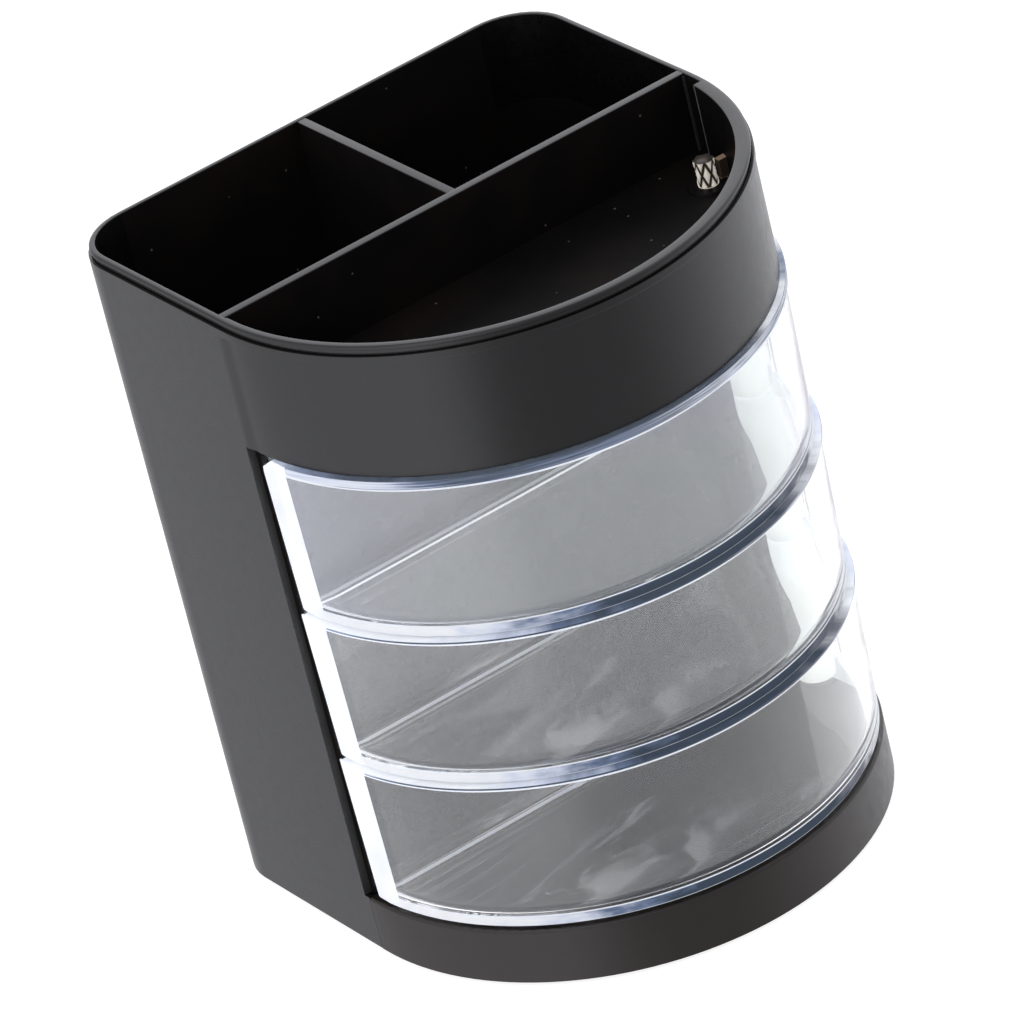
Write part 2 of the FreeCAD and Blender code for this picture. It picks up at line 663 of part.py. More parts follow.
def make_drawers():
    """Three drawers, one above another on the plinth's hub seat."""
    level = "dims.plinth_height + dims.plinth_gap"
    stack = (
        ("drawer_bottom", "dims.drawer_height", "dims.lip_height"),
        ("drawer_middle", "dims.drawer_height", "dims.lip_height"),
        ("drawer_top", "dims.top_drawer_height", "dims.top_lip_height"),
    )
    drawers = []
    for label, height, lip_height in stack:
        drawers.append(make_drawer(label, level, height, lip_height))
        level = f"{level} + {height} + dims.drawer_gap"
    return drawers


sub_parts = [make_outer_shell(), make_top_tray(), make_base()]
sub_parts += make_drawers()
sub_parts += [make_pivot_pin(), make_base_screws(), make_rubber_feet()]
doc.recompute()

for item in doc.Objects:
    if "Invalid" in item.State or "Error" in item.State:
        raise RuntimeError(f"{item.Name} is {item.State}")
for item in sub_parts:
    if item.Shape.isNull() or not item.Shape.isValid():
        raise RuntimeError(f"{item.Label} has no valid shape")

os.makedirs("parts", exist_ok=True)
for item in sub_parts:
    item.Shape.exportStep(f"parts/{item.Label}.step")
    box = item.Shape.optimalBoundingBox()
    print(f"{item.Label:14s} solids {len(item.Shape.Solids)}  volume {item.Shape.Volume:9.1f}  "
          f"x {box.XMin:.2f} {box.XMax:.2f}  y {box.YMin:.2f} {box.YMax:.2f}  z {box.ZMin:.2f} {box.ZMax:.2f}")
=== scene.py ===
import json
import math

import bmesh
import bpy
from mathutils import Matrix, Vector


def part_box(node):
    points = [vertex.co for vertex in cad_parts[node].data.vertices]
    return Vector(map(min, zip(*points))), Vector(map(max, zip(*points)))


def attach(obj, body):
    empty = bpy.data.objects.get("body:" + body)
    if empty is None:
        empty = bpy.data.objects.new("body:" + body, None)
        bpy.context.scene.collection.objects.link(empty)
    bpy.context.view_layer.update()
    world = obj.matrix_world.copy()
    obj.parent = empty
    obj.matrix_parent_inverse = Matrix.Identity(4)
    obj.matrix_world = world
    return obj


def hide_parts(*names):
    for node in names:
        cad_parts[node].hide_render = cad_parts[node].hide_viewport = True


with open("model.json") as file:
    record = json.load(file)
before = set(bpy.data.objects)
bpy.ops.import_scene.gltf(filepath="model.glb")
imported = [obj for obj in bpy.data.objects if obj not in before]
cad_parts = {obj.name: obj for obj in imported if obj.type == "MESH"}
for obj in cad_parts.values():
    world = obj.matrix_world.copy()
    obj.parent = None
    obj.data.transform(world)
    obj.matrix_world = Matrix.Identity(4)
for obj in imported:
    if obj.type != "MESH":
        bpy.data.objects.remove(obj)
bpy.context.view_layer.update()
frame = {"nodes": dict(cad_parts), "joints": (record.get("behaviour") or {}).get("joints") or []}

# Lengths are in metres. The casing's plan is a half-round front (-Y) on a rear half with round corners.

MM = 0.001

# ---------------------------------------------------------------- sizes read from the frame

shell_low, shell_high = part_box("outer_shell")
tray_low, tray_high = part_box("top_tray")
pin_low, pin_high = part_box("pivot_pin")
PIN_HEAD = (pin_high.x - pin_low.x) / 2 - 0.25 * MM     # to the crests of the knurl

RADIUS = shell_high.x
CENTRE_Y = shell_low.y + RADIUS
REAR = shell_high.y - CENTRE_Y
SHELL_BOTTOM = shell_low.z
SHELL_TOP = shell_high.z
SEAT = tray_low.z
TOP = tray_high.z
PIVOT = Vector((*frame["joints"][0]["pos_m"][:2], 0.0))
BAND_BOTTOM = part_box("drawer_top")[1].z + 0.05 * MM
RIM_INSET = RADIUS - tray_high.x

# ---------------------------------------------------------------- sizes of the mouldings

WALL = 1.7 * MM
CORNER = 13.0 * MM
RIM_HEIGHT = 0.8 * MM
FRONT_RIM = 2.7 * MM
FRONT_RIM_SHIFT = 0.7 * MM
FRONT_RIM_START = 4.6 * MM
# width of the face at the front rim's step that is painted light grey as a highlight
STEP_HIGHLIGHT_EDGE = 0.35 * MM
SKIRT_INSET = 0.7 * MM
PLINTH_TOP = SHELL_BOTTOM + 11.6 * MM
SIDE_SETBACK = 2.7 * MM
BULKHEAD_FRONT = 1.2 * MM
BULKHEAD = 2.0 * MM
DIVIDER = 2.0 * MM
WELL_FLOOR = SHELL_BOTTOM + 2.6 * MM    # top of the base's plate
SCREW_HEAD = 2.5 * MM
BOSS_RADIUS = 3.8 * MM
BOSS_HEIGHT = 10.0 * MM
TRAY_FLOOR = 2.0 * MM
BUTTRESS = 4.4 * MM
BUTTRESS_HALF = 0.8 * MM
BEAD = 1.5 * MM
BAND_RECESS = 0.3 * MM
STEP = 0.15 * MM
EMBED = 0.3 * MM         # how far one form is sunk into its neighbour
HAIR = 0.02 * MM         # keeps two faces from lying in one plane

DRAWER_RADIUS = 55.2 * MM
DRAWER_HALF = 54.95 * MM
DRAWER_DRAFT = 0.020     # how much a wall leans in, for each unit of height
DRAWER_BACK = 0.5 * MM
DRAWER_WALL = 2.0 * MM
DRAWER_FLOOR = 2.1 * MM
DRAWER_CORNER = 2.6 * MM
SCOOP = 3.9 * MM         # radius at the foot of a drawer's back wall
END_SLOPE_WIDTH = 2.4 * MM
END_SLOPE = 1.5          # how far forward the left end of the back leans, for each unit of height
LINE = 0.3 * MM          # width of a strip painted as a bright line of light
LIP = 0.6 * MM
HUB_RADIUS = 4.0 * MM
BORE_RADIUS = 2.05 * MM
WEB = 2.0 * MM
KNURL_END = 0.35 * MM    # height of the dome above the knurl

FRONT_STEPS = 96
CORNER_STEPS = 10


# ---------------------------------------------------------------- plans

def arc(x, y, radius, first, last, steps):
    """Points on an arc between two angles in degrees, both ends included."""
    angles = [math.radians(first + (last - first) * i / steps) for i in range(steps + 1)]
    return [(x + radius * math.cos(a), y + radius * math.sin(a)) for a in angles]


def rear_plan(inset, front_y):
    """From the right side's front end round the back to the left side's front end."""
    across, deep, corner = RADIUS - inset, CENTRE_Y + REAR - inset, CORNER - inset
    middle = across - corner
    points = [(across, front_y)]
    points += arc(middle, deep - corner, corner, 0, 90, CORNER_STEPS)
    points += arc(-middle, deep - corner, corner, 90, 180, CORNER_STEPS)
    return points + [(-across, front_y)]


def front_plan(inset):
    """The half-round front, from the left to the right."""
    return arc(0, CENTRE_Y, RADIUS - inset, 180, 360, FRONT_STEPS)


def wall_plan(rear_inset, front_inset):
    """The casing's plan, with points on both sides where the bay's side walls end."""
    rear = rear_plan(rear_inset, CENTRE_Y + SIDE_SETBACK)
    across, front_y = rear[0][0], CENTRE_Y + BULKHEAD_FRONT
    return [(across, front_y)] + rear + [(-across, front_y)] + front_plan(front_inset)


def stepped_plan(rear_inset, front_inset, shift):
    """The casing's plan with another inset round the front, on an arc that lies shift further to the left.

    The front's inset ends at the right with a step, a little ahead of the centre line. The last stretch
    before the step is as long as the face at the step's edge, which is painted light grey as a highlight.
    """
    side, bow = RADIUS - rear_inset, RADIUS - front_inset
    near, end = (math.degrees(math.asin((FRONT_RIM_START + edge) / bow)) for edge in (STEP_HIGHLIGHT_EDGE, 0.0))
    back = math.degrees(math.asin((FRONT_RIM_START - HAIR) / side))
    front = arc(-shift, CENTRE_Y, bow, 180, 360 - near, FRONT_STEPS)
    edge = arc(-shift, CENTRE_Y, bow, 360 - near, 360 - end, 1)[1:]
    step = arc(0, CENTRE_Y, side, 360 - back, 360, 2)
    return rear_plan(rear_inset, CENTRE_Y + BULKHEAD_FRONT) + front + edge + step


def drawer_plan(bow, inset, forward=0.0):
    """A drawer's plan, counter-clockwise: bowed front, right side, arc about the pivot, back, left corner.

    The back's straight line can lie further forward.
    """
    radius, half = bow - inset, DRAWER_HALF - inset
    side = math.degrees(math.acos(half / radius))
    turn = PIVOT_TO_BACK - inset
    right = half - PIVOT.x
    start = math.degrees(math.acos(right / turn))
    corner = max(DRAWER_CORNER - inset, 0.25 * MM)
    back = PIVOT.y + turn
    points = arc(0, CENTRE_Y, radius, 180 + side, 360 - side, FRONT_STEPS)
    points += arc(PIVOT.x, PIVOT.y, turn, start, 90, CORNER_STEPS)
    points += arc(corner - half, back - corner, corner, 90, 180, CORNER_STEPS)
    return [(x, min(y, back - forward)) for x, y in points]


PIVOT_TO_BACK = CENTRE_Y + DRAWER_BACK - PIVOT.y


# ---------------------------------------------------------------- meshes

def new_object(name, bm, smooth_angle=35.0):
    """Makes an object of a bmesh, shaded smooth except across edges sharper than smooth_angle."""
    bmesh.ops.recalc_face_normals(bm, faces=bm.faces)
    mesh = bpy.data.meshes.new(name)
    bm.to_mesh(mesh)
    bm.free()
    for polygon in mesh.polygons:
        polygon.use_smooth = True
    mesh.set_sharp_from_angle(angle=math.radians(smooth_angle))
    thing = bpy.data.objects.new(name, mesh)
    bpy.context.scene.collection.objects.link(thing)
    return thing


def add_loft(bm, rings, closed=False):
    """Skins a list of rings with equal counts. Open lofts get end faces, closed ones join last to first."""
    rows = [[bm.verts.new(point) for point in ring] for ring in rings]
    pairs = list(zip(rows, rows[1:]))
    if closed:
        pairs.append((rows[-1], rows[0]))
    for low, high in pairs:
        for i in range(len(low)):
            j = (i + 1) % len(low)
            bm.faces.new((low[i], low[j], high[j], high[i]))
    if not closed:
        bm.faces.new(list(reversed(rows[0])))
        bm.faces.new(rows[-1])


def at_height(points, z):
    return [(x, y, z) for x, y in points]


def add_slab(bm, x0, x1, y0, y1, z0, z1, top_round=0.0, steps=4):
    """An upright slab whose top edges are rounded."""
    rings = [(0.0, z0), (0.0, z1 - top_round)]
    if top_round:
        for i in range(1, steps + 1):
            a = math.radians(90.0 * i / steps)
            rings.append((top_round * (1 - math.cos(a)), z1 - top_round * (1 - math.sin(a))))
    add_loft(bm, [[(x0 + d, y0 + d, z), (x1 - d, y0 + d, z), (x1 - d, y1 - d, z), (x0 + d, y1 - d, z)]
                  for d, z in rings])


def add_lathe(bm, centre, profile, steps=48):
    """Turns a list of (radius, height) about a vertical line."""
    turns = [math.tau * i / steps for i in range(steps)]
    add_loft(bm, [[(centre.x + r * math.cos(a), centre.y + r * math.sin(a), z) for a in turns]
                  for r, z in profile])


def bevel(thing, width):
    """Rounds every sharp edge of a clean mesh."""
    modifier = thing.modifiers.new("edge_rounding", "BEVEL")
    modifier.width = width
    modifier.segments = 3
    modifier.limit_method = "ANGLE"
    modifier.angle_limit = math.radians(40.0)
    modifier.harden_normals = True


def boolean(thing, tool, operation):
    """Applies an exact boolean and deletes the tool."""
    modifier = thing.modifiers.new(operation, "BOOLEAN")
    modifier.object = tool
    modifier.operation = operation
    modifier.solver = "EXACT"
    bpy.context.view_layer.update()
    evaluated = thing.evaluated_get(bpy.context.evaluated_depsgraph_get())
    mesh = bpy.data.meshes.new_from_object(evaluated)
    thing.modifiers.clear()
    thing.data = mesh
    bpy.data.objects.remove(tool)


# ---------------------------------------------------------------- materials

def principled(name):
    material = bpy.data.materials.new(name)
    material.use_nodes = True
    nodes, links = material.node_tree.nodes, material.node_tree.links
    return material, nodes, links, nodes["Principled BSDF"]


def noise(nodes, links, scale, detail):
    """The factor of a noise texture in the object's own coordinates."""
    where = nodes.new("ShaderNodeTexCoord")
    texture = nodes.new("ShaderNodeTexNoise")
    texture.inputs["Scale"].default_value = scale
    texture.inputs["Detail"].default_value = detail
    links.new(where.outputs["Object"], texture.inputs["Vector"])
    return texture.outputs["Fac"]


def ramp(nodes, links, source, low, high, low_at=0.3, high_at=0.7):
    """A two-stop colour ramp fed by a texture's factor; returns its colour output."""
    node = nodes.new("ShaderNodeValToRGB")
    node.color_ramp.elements[0].position = low_at
    node.color_ramp.elements[0].color = (*low, 1.0)
    node.color_ramp.elements[1].position = high_at
    node.color_ramp.elements[1].color = (*high, 1.0)
    links.new(source, node.inputs["Fac"])
    return node.outputs["Color"]


def grey(value):
    return (value, value, value)


def math_node(nodes, links, operation, *inputs):
    """A Math node; each input is a number or another node's output."""
    node = nodes.new("ShaderNodeMath")
    node.operation = operation
    for socket, value in zip(node.inputs, inputs):
        if isinstance(value, (int, float)):
            socket.default_value = value
        else:
            links.new(value, socket)
    return node.outputs[0]


def map_range(nodes, links, source, from_min, from_max, to_min=0.0, to_max=1.0, smooth=False):
    """Carries a value from one range to another and stops it at the ends."""
    node = nodes.new("ShaderNodeMapRange")
    if smooth:
        node.interpolation_type = "SMOOTHSTEP"
    limits = {"From Min": from_min, "From Max": from_max, "To Min": to_min, "To Max": to_max}
    for socket, value in limits.items():
        node.inputs[socket].default_value = value
    links.new(source, node.inputs["Value"])
    return node.outputs["Result"]


def mix_colors(nodes, links, factor, first, second):
    """Between a colour output and a plain colour."""
    node = nodes.new("ShaderNodeMix")
    node.data_type = "RGBA"
    links.new(factor, node.inputs["Factor"])
    links.new(first, node.inputs["A"])
    node.inputs["B"].default_value = (*second, 1.0)
    return node.outputs["Result"]


def add_bump(nodes, links, shader, height, distance):
    bump = nodes.new("ShaderNodeBump")
    bump.inputs["Strength"].default_value = 0.10
    bump.inputs["Distance"].default_value = distance
    links.new(height, bump.inputs["Height"])
    links.new(bump.outputs["Normal"], shader.inputs["Normal"])


def object_axes(nodes, links):
    """The object's own x, y and z as three outputs."""
    where = nodes.new("ShaderNodeTexCoord")
    split = nodes.new("ShaderNodeSeparateXYZ")
    links.new(where.outputs["Object"], split.inputs[0])
    return split.outputs


def color_stops(nodes, links, source, stops):
    """A colour ramp with any number of (position, colour) stops."""
    node = nodes.new("ShaderNodeValToRGB")
    elements = node.color_ramp.elements
    while len(elements) < len(stops):
        elements.new(0.5)
    for element, (position, color) in zip(elements, stops):
        element.position = position
        element.color = (*color, 1.0)
    links.new(source, node.inputs["Fac"])
    return node.outputs["Color"]


def dust(nodes, links, spacing, radius, share):
    """1 inside small round specks, 0 elsewhere: one speck in a share of the cells of a random lattice."""
    where = nodes.new("ShaderNodeTexCoord")
    cells = nodes.new("ShaderNodeTexVoronoi")
    cells.inputs["Scale"].default_value = 1.0 / spacing
    links.new(where.outputs["Object"], cells.inputs["Vector"])
    near = math_node(nodes, links, "LESS_THAN", cells.outputs["Distance"], radius / spacing)
    split = nodes.new("ShaderNodeSeparateColor")
    links.new(cells.outputs["Color"], split.inputs[0])
    chosen = math_node(nodes, links, "LESS_THAN", split.outputs[0], share)
    return math_node(nodes, links, "MULTIPLY", near, chosen)


def black_plastic(name, low, high, rough_low, rough_high, dust_tone=None, ior=1.5):
    """Moulded black polystyrene: uneven satin, a fine grain and, with a dust_tone, a few specks of dust."""
    material, nodes, links, shader = principled(name)
    base = ramp(nodes, links, noise(nodes, links, 60.0, 3.0), low, high)
    if dust_tone:
        base = mix_colors(nodes, links, dust(nodes, links, 3.2 * MM, 0.24 * MM, 0.30), base, dust_tone)
    links.new(base, shader.inputs["Base Color"])
    rough = ramp(nodes, links, noise(nodes, links, 400.0, 5.0), grey(rough_low), grey(rough_high))
    links.new(rough, shader.inputs["Roughness"])
    add_bump(nodes, links, shader, noise(nodes, links, 2600.0, 2.0), 0.02 * MM)
    shader.inputs["IOR"].default_value = ior
    return material


def milky(nodes, links, color):
    """A thin milky layer that scatters a little more light back than through."""
    back = nodes.new("ShaderNodeBsdfDiffuse")
    through = nodes.new("ShaderNodeBsdfTranslucent")
    both = nodes.new("ShaderNodeMixShader")
    for scatter in (back, through):
        links.new(color, scatter.inputs["Color"])
    both.inputs["Fac"].default_value = 0.4
    links.new(back.outputs["BSDF"], both.inputs[1])
    links.new(through.outputs["BSDF"], both.inputs[2])
    return both.outputs["Shader"]


def mix_shaders(nodes, links, factor, first, second):
    mix = nodes.new("ShaderNodeMixShader")
    if isinstance(factor, (int, float)):
        mix.inputs["Fac"].default_value = factor
    else:
        links.new(factor, mix.inputs["Fac"])
    links.new(first, mix.inputs[1])
    links.new(second, mix.inputs[2])
    return mix.outputs["Shader"]


def clear_base(name):
    """Clear polystyrene, very slightly blue, with long shallow waves in its surfaces."""
    material, nodes, links, shader = principled(name)
    shader.inputs["Base Color"].default_value = (0.985, 0.99, 0.998, 1.0)
    shader.inputs["Transmission Weight"].default_value = 1.0
    shader.inputs["IOR"].default_value = 1.59
    rough = ramp(nodes, links, noise(nodes, links, 25.0, 1.0), grey(0.0), grey(0.02))
    links.new(rough, shader.inputs["Roughness"])
    add_bump(nodes, links, shader, noise(nodes, links, 14.0, 0.0), 0.2 * MM)
    return material, nodes, links, shader


def clear_plastic(name, haze_low, haze_high, low_z, high_z):
    """The walls and floor: the haze grows from haze_low to haze_high with height, and to the left; this
    growth is painted light on top of the plastic's own slight haze.
    """
    material, nodes, links, shader = clear_base(name)
    tone = noise(nodes, links, 22.0, 1.0)
    color = ramp(nodes, links, tone, (0.82, 0.84, 0.96), (0.86, 0.91, 0.92), 0.4, 0.6)
    x, _, z = object_axes(nodes, links)
    rise = map_range(nodes, links, z, low_z, high_z, haze_low, haze_high, smooth=True)
    left = map_range(nodes, links, x, -RADIUS, -0.6 * RADIUS, 1.35, 1.0)
    haze = math_node(nodes, links, "MULTIPLY", rise, left)
    shown = mix_shaders(nodes, links, haze, shader.outputs["BSDF"], milky(nodes, links, color))
    links.new(shown, nodes["Material Output"].inputs["Surface"])
    return material


def bow_turn(nodes, links):
    """How far round the bowed front a point is: 0 at the left end, 0.5 at the middle, 1 at the right end."""
    x, y, _ = object_axes(nodes, links)
    ahead = math_node(nodes, links, "SUBTRACT", CENTRE_Y, y)
    angle = math_node(nodes, links, "ARCTAN2", x, ahead)
    return math_node(nodes, links, "ADD", math_node(nodes, links, "DIVIDE", angle, math.pi), 0.5)


def glow(nodes, links, shader, color, strength):
    """Adds a painted glow, in place of the light that an edge would carry to it from the whole moulding."""
    light = nodes.new("ShaderNodeEmission")
    light.inputs["Strength"].default_value = strength
    links.new(color, light.inputs["Color"])
    both = nodes.new("ShaderNodeAddShader")
    links.new(shader, both.inputs[0])
    links.new(light.outputs["Emission"], both.inputs[1])
    return both.outputs["Shader"]


def painted_bow_light(name, stops, cover, along, across, depth):
    """Thick moulded edges of the bowed front, painted in streaks of highlight and shade for the light that
    gathers there. The stops run from left to right.

    The colours run in streaks, of which there are `along` round the bow and `across` in each metre of
    height, and which move them by up to half of `depth`.
    """
    material, nodes, links, shader = clear_base(name)
    turn = bow_turn(nodes, links)
    z = object_axes(nodes, links)[2]
    place_on_bow = nodes.new("ShaderNodeCombineXYZ")
    links.new(math_node(nodes, links, "MULTIPLY", turn, along), place_on_bow.inputs[0])
    links.new(math_node(nodes, links, "MULTIPLY", z, across), place_on_bow.inputs[1])
    streaks = nodes.new("ShaderNodeTexNoise")
    streaks.inputs["Scale"].default_value = 1.0
    streaks.inputs["Detail"].default_value = 3.0
    links.new(place_on_bow.outputs[0], streaks.inputs["Vector"])
    uneven = math_node(nodes, links, "SUBTRACT", streaks.outputs["Fac"], 0.5)
    swing = math_node(nodes, links, "MULTIPLY", uneven, depth)
    color = color_stops(nodes, links, math_node(nodes, links, "ADD", turn, swing), stops)
    shown = mix_shaders(nodes, links, cover, shader.outputs["BSDF"], milky(nodes, links, color))
    links.new(glow(nodes, links, shown, color, 0.15), nodes["Material Output"].inputs["Surface"])
    return material


def painted_light_edge(name, color, cover, strength):
    """A thin edge or narrow face painted white as a highlight, with a painted glow."""
    material, nodes, links, shader = clear_base(name)
    lavender = (0.86 * color[0], 0.87 * color[1], color[2])
    shade = ramp(nodes, links, noise(nodes, links, 160.0, 2.0), color, lavender, 0.55, 0.8)
    shown = mix_shaders(nodes, links, cover, shader.outputs["BSDF"], milky(nodes, links, shade))
    links.new(glow(nodes, links, shown, shade, strength), nodes["Material Output"].inputs["Surface"])
    return material


def knurled_steel(name):
    """Painted highlights on the knurl's raised points and painted shade in its grooves, by the distance from
    the pin's own line; the domed end is painted dark.
    """
    material, nodes, links, shader = principled(name)
    x, y, z = object_axes(nodes, links)
    across = math_node(nodes, links, "SUBTRACT", x, PIVOT.x)
    along = math_node(nodes, links, "SUBTRACT", y, PIVOT.y)
    squares = [math_node(nodes, links, "MULTIPLY", part, part) for part in (across, along)]
    radius = math_node(nodes, links, "SQRT", math_node(nodes, links, "ADD", *squares))
    height = map_range(nodes, links, radius, PIN_HEAD - 0.36 * MM, PIN_HEAD - 0.12 * MM)
    painted_facet_light = ramp(nodes, links, height, (0.03, 0.022, 0.014), (1.0, 0.93, 0.82), 0.35, 0.95)
    on_end = math_node(nodes, links, "GREATER_THAN", z, pin_high.z - KNURL_END)
    color = mix_colors(nodes, links, on_end, painted_facet_light, (0.05, 0.042, 0.036))
    links.new(color, shader.inputs["Base Color"])
    # The painted colours also feed the emission, so the pin glows a little as painted light.
    links.new(color, shader.inputs["Emission Color"])
    shader.inputs["Emission Strength"].default_value = 0.35
    shader.inputs["Metallic"].default_value = 0.5
    shader.inputs["Roughness"].default_value = 0.28
    return material


def plated_steel(name):
    material, nodes, links, shader = principled(name)
    color = ramp(nodes, links, noise(nodes, links, 900.0, 3.0), (0.62, 0.58, 0.50), (0.86, 0.84, 0.80))
    links.new(color, shader.inputs["Base Color"])
    shader.inputs["Metallic"].default_value = 1.0
    shader.inputs["Roughness"].default_value = 0.3
    return material


def rubber(name):
    material, nodes, links, shader = principled(name)
    color = ramp(nodes, links, noise(nodes, links, 700.0, 4.0), grey(0.015), grey(0.04))
    links.new(color, shader.inputs["Base Color"])
    shader.inputs["Roughness"].default_value = 0.75
    return material


# ---------------------------------------------------------------- casing

def build_shell():
    """Outer wall with the drawer bay left open, and bulkhead, deck, divider and screw bosses inside."""
    bm = bmesh.new()
    outer = [(SHELL_BOTTOM, 0.0), (PLINTH_TOP, 0.0), (BAND_BOTTOM, BAND_RECESS),
             (SHELL_TOP - BEAD - STEP, BAND_RECESS), (SHELL_TOP - BEAD, 0.0), (SHELL_TOP, 0.0)]
    inner = [(SHELL_BOTTOM, WALL), (PLINTH_TOP, WALL), (BAND_BOTTOM, WALL), (SEAT, WALL),
             (SEAT, SKIRT_INSET - 0.1 * MM), (SHELL_TOP, SKIRT_INSET - 0.1 * MM)]
    skins = [[], []]
    for z, front_inset in outer:
        skins[0].append([bm.verts.new(point) for point in at_height(wall_plan(0.0, front_inset), z)])
    for z, inset in inner:
        skins[1].append([bm.verts.new(point) for point in at_height(wall_plan(inset, inset), z)])
    columns = len(skins[0][0])
    last_side = columns - len(front_plan(0.0)) - 2

    def filled(row, column):
        """The wall is whole above the bay, ends at the bulkhead below it, and is set back beside it."""
        column %= columns
        if row == 0:
            return column <= last_side
        if row == 1:
            return 0 < column < last_side
        return 1 < row < len(outer) - 1

    for row in range(len(outer) - 1):
        for column in range(columns):
            if not filled(row, column):
                continue
            right, above = (column + 1) % columns, row + 1
            for skin in skins:
                bm.faces.new((skin[row][column], skin[row][right], skin[above][right], skin[above][column]))
            edges = (((row - 1, column), (row, column), (row, right)),
                     ((above, column), (above, column), (above, right)),
                     ((row, column - 1), (row, column), (above, column)),
                     ((row, column + 1), (row, right), (above, right)))
            for neighbour, (row_a, column_a), (row_b, column_b) in edges:
                if not filled(*neighbour):
                    bm.faces.new((skins[0][row_a][column_a], skins[0][row_b][column_b],
                                  skins[1][row_b][column_b], skins[1][row_a][column_a]))
    loose = [vertex for vertex in bm.verts if not vertex.link_faces]
    bmesh.ops.delete(bm, geom=loose, context="VERTS")

    inside = RADIUS - WALL + EMBED
    front = CENTRE_Y + BULKHEAD_FRONT
    across = RADIUS - WALL + 2 * HAIR
    add_slab(bm, -across, across, front + HAIR, front + BULKHEAD, WELL_FLOOR, SEAT - HAIR)
    add_slab(bm, -DIVIDER / 2, DIVIDER / 2, front + BULKHEAD - EMBED, CENTRE_Y + REAR - WALL + EMBED,
             WELL_FLOOR, SEAT - 0.2 * MM)
    deck = [(-inside, front + HAIR * 2)] + front_plan(WALL - EMBED) + [(inside, front + HAIR * 2)]
    add_loft(bm, [at_height(deck, z) for z in (BAND_BOTTOM + HAIR, BAND_BOTTOM + 2 * MM)])
    screws_low, screws_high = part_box("base_screws")
    for x in (screws_low.x + SCREW_HEAD, screws_high.x - SCREW_HEAD):
        for y in (screws_low.y + SCREW_HEAD, screws_high.y - SCREW_HEAD):
            add_lathe(bm, Vector((x, y, 0.0)),
                      [(BOSS_RADIUS, WELL_FLOOR), (BOSS_RADIUS, WELL_FLOOR + BOSS_HEIGHT)])
    shell = new_object("outer_shell_moulding", bm)
    deep = CENTRE_Y + REAR - WALL + 2 * HAIR
    for polygon in shell.data.polygons:
        x, y, z = polygon.center
        past_x, past_y = abs(x) - RADIUS + CORNER, y - CENTRE_Y - REAR + CORNER
        outside_corner = min(past_x, past_y) > 0 and math.hypot(past_x, past_y) > CORNER - WALL / 2
        in_well = abs(x) < across and front + HAIR * 4 < y < deep and z < SEAT
        polygon.material_index = int(in_well and not outside_corner)
        # The front end faces of the side walls get the third material, painted dark grey in place of the
        # room's reflection.
        if abs(x) > across and abs(y - CENTRE_Y - SIDE_SETBACK) < HAIR and PLINTH_TOP < z < BAND_BOTTOM:
            polygon.material_index = 2
    bevel(shell, 0.25 * MM)
    return shell


def build_tray():
    """Rim and skirt as one swept ring, and floor, cross wall, short divider and pin ring inside it."""
    bm = bmesh.new()
    under = TOP - RIM_HEIGHT
    outer_round, inner_round = 0.6 * MM, 0.2 * MM
    chamfer = 0.12 * MM
    rings = [(SKIRT_INSET, SEAT), (SKIRT_INSET, under),
             (RIM_INSET + chamfer, under), (RIM_INSET, under + chamfer)]
    for i in range(5):
        a = math.radians(90.0 * i / 4)
        rings.append((RIM_INSET + outer_round * (1 - math.cos(a)), TOP - outer_round * (1 - math.sin(a))))
    rings = [(inset, inset, 0.0, z) for inset, z in rings]
    for i in range(5):
        a = math.radians(90.0 - 90.0 * i / 4)
        back = inner_round * (1 - math.cos(a))
        rings.append((WALL - back, FRONT_RIM - back, FRONT_RIM_SHIFT, TOP - inner_round * (1 - math.sin(a))))
    rings.append((WALL, FRONT_RIM, FRONT_RIM_SHIFT, SEAT))
    add_loft(bm, [at_height(stepped_plan(*ring[:-1]), ring[-1]) for ring in rings], closed=True)

    inside = RADIUS - WALL + EMBED
    front = CENTRE_Y + BULKHEAD_FRONT
    wall_top = TOP - 0.08 * MM
    add_slab(bm, -inside, inside, front, front + BULKHEAD, SEAT + HAIR, wall_top, top_round=0.2 * MM)
    add_slab(bm, -DIVIDER / 2, DIVIDER / 2, front + BULKHEAD - 0.6 * MM, CENTRE_Y + REAR - WALL + EMBED,
             SEAT + HAIR, wall_top - 0.03 * MM, top_round=0.2 * MM)
    floor = front_plan(WALL - EMBED)
    add_loft(bm, [at_height([(-inside, front + EMBED)] + floor + [(inside, front + EMBED)], z)
                  for z in (SEAT + HAIR, SEAT + TRAY_FLOOR)])
    floor_top = SEAT + TRAY_FLOOR
    add_lathe(bm, PIVOT, [(4.4 * MM, floor_top - EMBED), (4.2 * MM, floor_top + 0.3 * MM),
                          (4.0 * MM, floor_top + 0.5 * MM), (2.6 * MM, floor_top + 0.5 * MM)])
    add_slab(bm, PIVOT.x + 2.8 * MM, RADIUS - FRONT_RIM, PIVOT.y - BUTTRESS_HALF, PIVOT.y + BUTTRESS_HALF,
             floor_top - EMBED, floor_top + BUTTRESS, top_round=0.2 * MM)
    # A slim strip fills the corner of the side wall and the cross wall; it is painted grey as a highlight on
    # the corner.
    side = RADIUS - WALL
    add_slab(bm, side - 0.45 * MM, side + EMBED, front - 0.35 * MM, front + 0.1 * MM, floor_top - EMBED,
             wall_top - 0.5 * MM)
    tray = new_object("top_tray_moulding", bm)
    paint_tray(tray, floor_top)
    return tray


RIM, TRAY_INSIDE, STEP_CORNER, BUTTRESS_FACE, BUTTRESS_TOP, WALL_CORNER = range(6)


